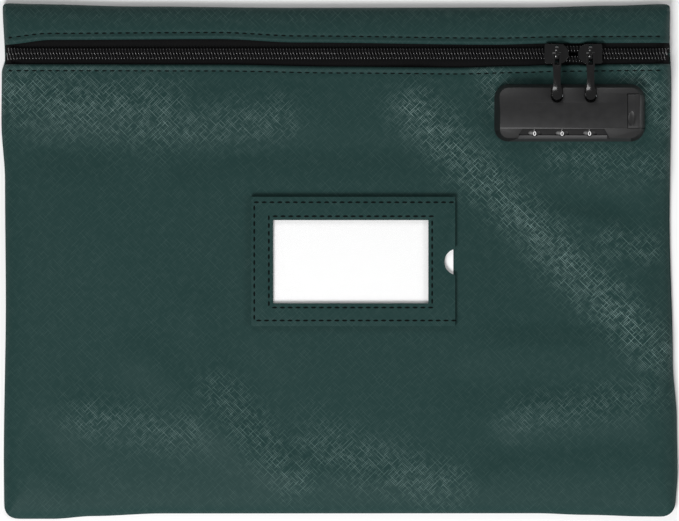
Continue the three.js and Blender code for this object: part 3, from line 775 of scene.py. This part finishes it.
class DEPOSITBAG_OT_zip(DepositBagOperator):
    """The zip: two woven tapes and the two meshed coils of nylon wire between the hems"""

    bl_idname = "object.deposit_bag_zip"
    bl_label = "Zip"

    def execute(self, context):
        sizes = context.scene.deposit_bag_sizes
        self.sliders = tuple(middle(f"slider_{side}").x / MM for side in ("left", "right"))
        for side, sign in (("lower", -1), ("upper", 1)):
            self.tape(side, sign)
            self.coil(side, sign, sizes.tooth, sizes.wire)
            self.core(side, sign)
        return {"FINISHED"}

    def ends(self, margin):
        """Where the chain stops short of the bag's sides, in metres."""
        y = ZIP_Y / MM
        return (outline_x(y, -1) + margin) * MM, (outline_x(y, 1) - margin) * MM

    def tape(self, side, sign):
        low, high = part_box(f"zipper_tape_{side}")
        near, far = (high[1], low[1]) if sign < 0 else (low[1], high[1])
        start, end = self.ends(0.3)

        def place(u, v):
            x = (start + (end - start) * u) / MM
            y = (near + (far - near) * v) / MM
            z = front_height(x, ZIP_Y / MM, 1.5)
            return Vector((x, y, z)) * MM

        bm = sheet_from(120, 10, place)
        thicken(bm, TAPE)
        tape = piece_from(
            f"zip_tape_{side}_weave", bm, material("woven_zip_tape"),
            stands_for=(f"zipper_tape_{side}",), sharp=CLOTH_SHARP,
        )

    def core(self, side, sign):
        """The flat cord that a coil is sewn round, which fills it."""
        start, end = self.ends(1.0)
        inner, outer = ZIP_Y / MM + sign * CORE_INNER, ZIP_Y / MM + sign * CORE_OUTER

        def place(u, v):
            x = (start + (end - start) * u) / MM
            y = min(inner, outer) + abs(outer - inner) * v + sign * self.parting(x)
            return Vector((x, y, front_height(x, ZIP_Y / MM) - 0.4)) * MM

        bm = sheet_from(160, 1, place)
        thicken(bm, 0.3 * MM)
        piece_from(f"zip_core_{side}", bm, material("woven_zip_tape"), sharp=CLOTH_SHARP)

    def parting(self, x):
        """How far the sliders hold one coil off the zip's line, inside and between them."""
        left, right = self.sliders
        reach = (right - left) / 2 + 4
        return PARTING * ease((1.0 - abs(x - (left + right) / 2) / reach) / 0.45)

    def coil(self, side, sign, pitch, wire):
        """A wire wound along X into flat loops, whose inner ends mesh with the other coil's."""
        start, end = self.ends(1.2)
        inner, outer = ZIP_Y - sign * COIL_LAP * MM, ZIP_Y + sign * COIL_REACH * MM
        turns = int((end - start) / pitch)
        steps = 10
        bm = bmesh.new()
        made = bmesh.ops.create_circle(bm, segments=6, radius=wire / 2)
        bmesh.ops.translate(bm, verts=made["verts"], vec=(0, MM, 0))
        bmesh.ops.spin(
            bm, geom=bm.edges[:] + bm.verts[:], cent=(0, 0, 0), axis=(1, 0, 0),
            dvec=(pitch / steps, 0, 0), angle=2 * math.pi * turns, steps=steps * turns, use_duplicate=False,
        )
        bmesh.ops.holes_fill(bm, edges=[e for e in bm.edges if e.is_boundary])
        half = abs(outer - inner) / 2 - wire / 2
        offset = start + (0.5 * pitch if sign > 0 else 0)
        for v in bm.verts:
            off = math.hypot(v.co.y, v.co.z) - MM
            around = math.atan2(v.co.z, v.co.y)
            x = offset + v.co.x
            y = (inner + outer) / 2 + (half + off) * math.cos(around)
            z = (COIL_RISE * MM + off) * math.sin(around)
            base = (front_height(x / MM, ZIP_Y / MM) - 0.45) * MM
            v.co = Vector((x, y + sign * self.parting(x / MM) * MM, base + z))
        bmesh.ops.recalc_face_normals(bm, faces=bm.faces)
        piece_from(
            f"zip_coil_{side}_wire", bm, material("extruded_nylon_wire"),
            stands_for=(f"zipper_coil_{side}",), sharp=None,
        )


class DEPOSITBAG_OT_sliders(DepositBagOperator):
    """The zip's two sliders and the pullers that hang from them"""

    bl_idname = "object.deposit_bag_sliders"
    bl_label = "Sliders and pullers"

    def execute(self, context):
        enamel = material("black_enamelled_zinc")
        for side in ("left", "right"):
            for part in (f"slider_{side}", f"puller_{side}"):
                softened_node(part, f"{part}_cast", enamel, 0.5 * MM, part)
        return {"FINISHED"}


class DEPOSITBAG_OT_card_pocket(DepositBagOperator):
    """The card pocket's frame, its clear film and the name card"""

    bl_idname = "object.deposit_bag_card_pocket"
    bl_label = "Card pocket"

    def execute(self, context):
        bm = cad_copy("card_frame")
        soften(bm, 0.7 * MM)
        pocket = piece_from(
            "card_frame_cloth", bm, material("saffiano_leathercloth"),
            stands_for=("card_frame",),
        )
        finish_node("window_film", "clear_pvc_film")
        finish_node("name_card", "coated_card_stock")
        return {"FINISHED"}


class DEPOSITBAG_OT_stitching(DepositBagOperator):
    """Rows of lockstitch along the two hems and round the card pocket"""

    bl_idname = "object.deposit_bag_stitching"
    bl_label = "Stitching"

    def execute(self, context):
        lower = [(x, along(LOWER_HEM, x) - HEM_STITCH) for x in range(-166, 166, 4)]
        upper = [(x, along(UPPER_HEM, x) + HEM_STITCH) for x in range(-166, 166, 4)]
        self.row("hem_stitching_lower", [lower], panel_top)
        self.row("hem_stitching_upper", [upper], strip_top)
        left, bottom = POCKET_LOW.x / MM, POCKET_LOW.y / MM
        right, top = POCKET_HIGH.x / MM, POCKET_HIGH.y / MM
        start, high, low = left + 1.6, top - 2.8, bottom + 2.8
        outer = [(right, high), (start, high), (start, low), (right, low)]
        window = [(-35, -23.3), (-35, 22.3), (46.6, 22.3), (46.6, -23.3), (-35, -23.3)]
        self.row("pocket_stitching", [outer, window], lambda x, y: POCKET_HIGH.z / MM)
        return {"FINISHED"}

    def row(self, name, paths, height):
        sizes = bpy.context.scene.deposit_bag_sizes
        pitch, wide = sizes.stitch / MM, sizes.thread / MM
        bm = bmesh.new()
        for path in paths:
            for at, turn in self.places(path, pitch):
                self.stitch(bm, at, turn, height(*at), pitch, wide)
        piece_from(name, bm, material("bonded_polyester_thread"), sharp=None)

    def places(self, path, pitch):
        """The middle and direction of each stitch that fits along a path."""
        found = []
        travelled, due = 0.0, pitch / 2
        for a, b in zip(path, path[1:]):
            step = math.dist(a, b)
            while due <= travelled + step:
                t = (due - travelled) / step
                at = (a[0] + t * (b[0] - a[0]), a[1] + t * (b[1] - a[1]))
                found.append((at, math.atan2(b[1] - a[1], b[0] - a[0])))
                due += pitch
            travelled += step
        return found

    def stitch(self, bm, at, turn, z, pitch, wide):
        made = bmesh.ops.create_uvsphere(bm, u_segments=8, v_segments=5, radius=0.5)
        place = (
            Matrix.Translation(Vector((at[0], at[1], z - 0.02)) * MM)
            @ Matrix.Rotation(turn, 4, "Z")
            @ Matrix.Diagonal((0.68 * pitch * MM, wide * MM, 0.75 * wide * MM, 1))
            @ Matrix.Rotation(math.pi / 2, 4, "Y")
        )
        bmesh.ops.transform(bm, matrix=place, verts=made["verts"])


class DEPOSITBAG_OT_lock_case(DepositBagOperator):
    """The lock's moulded cover and its release slide"""

    bl_idname = "object.deposit_bag_lock_case"
    bl_label = "Lock case"

    def execute(self, context):
        plastic = material("satin_moulded_abs")
        cover = softened_node("lock_cover", "lock_cover_moulding", plastic, 0.35 * MM, BAG)
        self.finish_scoop(cover.data)
        softened_node(
            "release_slide", "release_slide_moulding", plastic, 0.35 * MM, "release"
        )
        return {"FINISHED"}

    def finish_scoop(self, mesh):
        """The scoop that the dials look out of is dull, with painted shade in its darker colour. Its lip is
        paler, painted light where it faces the key lamp, and the bevel beside it gets painted shade too.
        """
        scoop, painted_light_lip, bevel = 1, 2, 3
        mesh.materials.append(material("painted_shade_scoop_abs"))
        mesh.materials.append(material("painted_light_moulded_abs"))
        mesh.materials.append(material("painted_shade_bevel_abs"))
        dials = middle("dial_2")
        # the scoop narrows from its open lower side up to its rim
        centre, low, high = dials.x / MM + 0.6, LOCK_BOTTOM / MM, dials.y / MM + 0.9
        lip = low + 3.1
        for face in mesh.polygons:
            at = face.center / MM
            half = 25.6 - 4.9 * (at.y - low) / (high - low)
            leaning = face.normal.y < -0.25 and face.normal.z > 0.3
            if not (low + 0.3 < at.y < high and leaning):
                continue
            on_lip = at.y <= lip and centre - 23.4 < at.x < centre + 22
            inside = abs(at.x - centre) < half
            # Painted shade in the scoop and on the bevel, painted light on the lip.
            face.material_index = (painted_light_lip if on_lip else scoop) if inside else bevel


class DEPOSITBAG_OT_dials(DepositBagOperator):
    """The three number wheels, with their digits"""

    bl_idname = "object.deposit_bag_dials"
    bl_label = "Dials"

    def execute(self, context):
        gloss = material("polished_moulded_abs")
        for i in range(1, 4):
            dial = f"dial_{i}"
            softened_node(dial, f"{dial}_wheel", gloss, 0.25 * MM, dial, sharp=30)
            self.digits(i)
        return {"FINISHED"}

    def digits(self, i):
        centre = middle(f"dial_{i}")
        low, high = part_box(f"dial_{i}")
        radius = (high[2] - low[2]) / 2
        facing = math.radians(24)
        bm = bmesh.new()
        for digit in range(10):
            text = bpy.data.curves.new(f"digit_{digit}", "FONT")
            text.body = str(digit)
            text.size = 3.3 * MM
            text.align_x = "CENTER"
            text.align_y = "CENTER"
            text.extrude = 0.06 * MM
            text.resolution_u = 3
            holder = bpy.data.objects.new(text.name, text)
            mesh = bpy.data.meshes.new_from_object(holder)
            before = len(bm.verts)
            bm.from_mesh(mesh)
            bm.verts.ensure_lookup_table()
            for v in bm.verts[before:]:
                angle = facing + math.radians(36 * digit) - v.co.y / radius
                out = radius + 0.02 * MM + v.co.z - 0.25 * MM * (v.co.x / (3.6 * MM)) ** 2
                v.co = Vector((
                    centre.x + v.co.x,
                    centre.y - out * math.sin(angle),
                    centre.z + out * math.cos(angle),
                ))
            bpy.data.objects.remove(holder)
            bpy.data.curves.remove(text)
            bpy.data.meshes.remove(mesh)
        bmesh.ops.remove_doubles(bm, verts=bm.verts, dist=1e-7)
        bmesh.ops.recalc_face_normals(bm, faces=bm.faces)
        piece_from(f"dial_{i}_digits", bm, material("white_pad_print"), f"dial_{i}")


class DEPOSITBAG_OT_lock_works(DepositBagOperator):
    """Finishes for the parts inside the lock"""

    bl_idname = "object.deposit_bag_lock_works"
    bl_label = "Lock works"

    def execute(self, context):
        finish_node("lock_chassis", "satin_moulded_abs")
        self.spring()
        steel = ["backing_plate", "dial_shaft", "detent_spring", "latch_bar", "reset_pin"]
        steel += [f"lock_screw_{i}" for i in range(1, 5)]
        steel += [f"dial_sleeve_{i}" for i in range(1, 4)]
        for node in steel:
            finish_node(node, "zinc_plated_steel")
        return {"FINISHED"}

    def spring(self):
        """The latch's spring, on a mesh of its own; on the real lock it shortens as the release slides."""
        spring = piece_from(
            "latch_spring_wire", cad_copy("latch_spring"), material("zinc_plated_steel"),
            stands_for=("latch_spring",),
        )
        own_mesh(spring)


class DEPOSITBAG_OT_stage(DepositBagOperator):
    """A pale floor, soft studio lights and a camera looking straight down"""

    bl_idname = "object.deposit_bag_stage"
    bl_label = "Stage"

    def execute(self, context):
        scene = context.scene
        colours = scene.deposit_bag_colours
        bm = bmesh.new()
        bmesh.ops.create_grid(bm, x_segments=1, y_segments=1, size=3)
        bmesh.ops.translate(bm, verts=bm.verts, vec=(0, 0, -0.0003))
        mesh = bpy.data.meshes.new("floor")
        bm.to_mesh(mesh)
        bm.free()
        # Seamless studio paper: white and dull.
        mesh.materials.append(moulded("studio_paper", colours.floor, 0.9, 0.6 * MM, 0.000002, ior=1.3))
        floor = bpy.data.objects.new("floor", mesh)
        scene.collection.objects.link(floor)

        self.light("key", (-0.45, -0.95, 1.2), (0, 0, 0), 0.75, 0.6, 21)
        self.light("side", (1.3, -0.3, 1.0), (0, 0, 0), 0.6, 0.6, 6)
        self.light("back", (-0.3, 1.3, 1.1), (0, 0, 0), 0.8, 0.5, 5)

        world = bpy.data.worlds.new("studio")
        world.use_nodes = True
        world.node_tree.nodes["Background"].inputs["Color"].default_value = (1, 1, 1, 1)
        world.node_tree.nodes["Background"].inputs["Strength"].default_value = 0.19
        scene.world = world
        scene.view_settings.view_transform = "Standard"

        camera = bpy.data.cameras.new("camera")
        distance = 3.2
        shown = 339.6 * MM
        camera.sensor_width = 36
        camera.lens = 36 * (distance - TOP_Z) / shown
        camera.clip_start = 0.05
        rig = bpy.data.objects.new("camera", camera)
        rig.location = (0.3 * MM, 0.2 * MM, distance)
        scene.collection.objects.link(rig)
        scene.camera = rig
        return {"FINISHED"}

    def light(self, name, at, target, wide, tall, power):
        lamp = bpy.data.lights.new(name, "AREA")
        lamp.shape = "RECTANGLE"
        lamp.size = wide
        lamp.size_y = tall
        lamp.energy = power
        holder = bpy.data.objects.new(name, lamp)
        holder.location = at
        holder.rotation_euler = (Vector(target) - Vector(at)).to_track_quat("-Z", "Y").to_euler()
        bpy.context.scene.collection.objects.link(holder)


OPERATORS = (
    DEPOSITBAG_OT_stage,
    DEPOSITBAG_OT_lining,
    DEPOSITBAG_OT_leathercloth,
    DEPOSITBAG_OT_zip,
    DEPOSITBAG_OT_sliders,
    DEPOSITBAG_OT_card_pocket,
    DEPOSITBAG_OT_stitching,
    DEPOSITBAG_OT_lock_case,
    DEPOSITBAG_OT_dials,
    DEPOSITBAG_OT_lock_works,
)


class DEPOSITBAG_PT_panel(bpy.types.Panel):
    bl_idname = "DEPOSITBAG_PT_panel"
    bl_label = "Deposit Bag"
    bl_space_type = "VIEW_3D"
    bl_region_type = "UI"
    bl_category = "Deposit Bag"

    def draw(self, context):
        layout = self.layout
        for group in (context.scene.deposit_bag_sizes, context.scene.deposit_bag_colours):
            box = layout.box()
            for name in group.bl_rna.properties.keys():
                if name not in {"rna_type", "name"}:
                    box.prop(group, name)
        for operator in OPERATORS:
            layout.operator(operator.bl_idname)


CLASSES = (DepositBagColours, DepositBagSizes, *OPERATORS, DEPOSITBAG_PT_panel)


def register():
    for cls in CLASSES:
        bpy.utils.register_class(cls)
    bpy.types.Scene.deposit_bag_colours = bpy.props.PointerProperty(type=DepositBagColours)
    bpy.types.Scene.deposit_bag_sizes = bpy.props.PointerProperty(type=DepositBagSizes)


def unregister():
    del bpy.types.Scene.deposit_bag_sizes
    del bpy.types.Scene.deposit_bag_colours
    for cls in reversed(CLASSES):
        bpy.utils.unregister_class(cls)


def main():
    register()
    make_materials()
    for operator in OPERATORS:
        group, name = operator.bl_idname.split(".")
        getattr(getattr(bpy.ops, group), name)()


if __name__ == "__main__":
    main()
